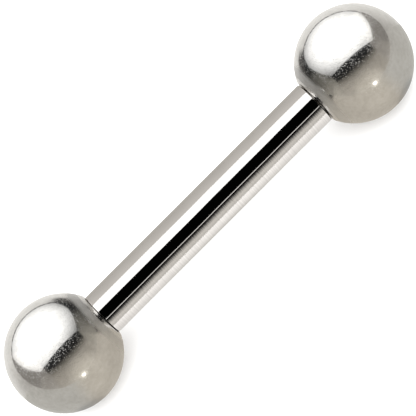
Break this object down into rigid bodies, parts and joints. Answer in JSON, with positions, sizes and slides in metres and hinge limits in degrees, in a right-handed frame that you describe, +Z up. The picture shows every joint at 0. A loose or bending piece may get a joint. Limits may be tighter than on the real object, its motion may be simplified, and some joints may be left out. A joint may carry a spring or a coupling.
{
  "type": "straight piercing barbell",
  "caption": "Straight barbell for a body piercing: a plain round polished steel shaft with a ball screwed onto each threaded end.",
  "frame": {"origin": "middle of the shaft, on its axis", "axes": "+X along the shaft towards the right ball, +Z up as the barbell lies on its balls"},
  "size_m": [0.0176, 0.004, 0.004],
  "materials": {
    "shaft_steel": "mirror-polished stainless steel with faint turning lines",
    "ball_steel": "tumble-polished stainless steel, slightly mottled"
  },
  "bodies": {
    "shaft": {"shaft": "shaft_steel"},
    "left_ball": {"left_ball": "ball_steel"},
    "right_ball": {"right_ball": "ball_steel"}
  },
  "joints": [
    {"name": "left_ball_unscrews", "type": "slide", "parent": "shaft", "child": "left_ball", "axis": [-1, 0, 0], "range_m": [0, 0.014]},
    {"name": "right_ball_unscrews", "type": "slide", "parent": "shaft", "child": "right_ball", "axis": [1, 0, 0], "range_m": [0, 0.014]}
  ]
}
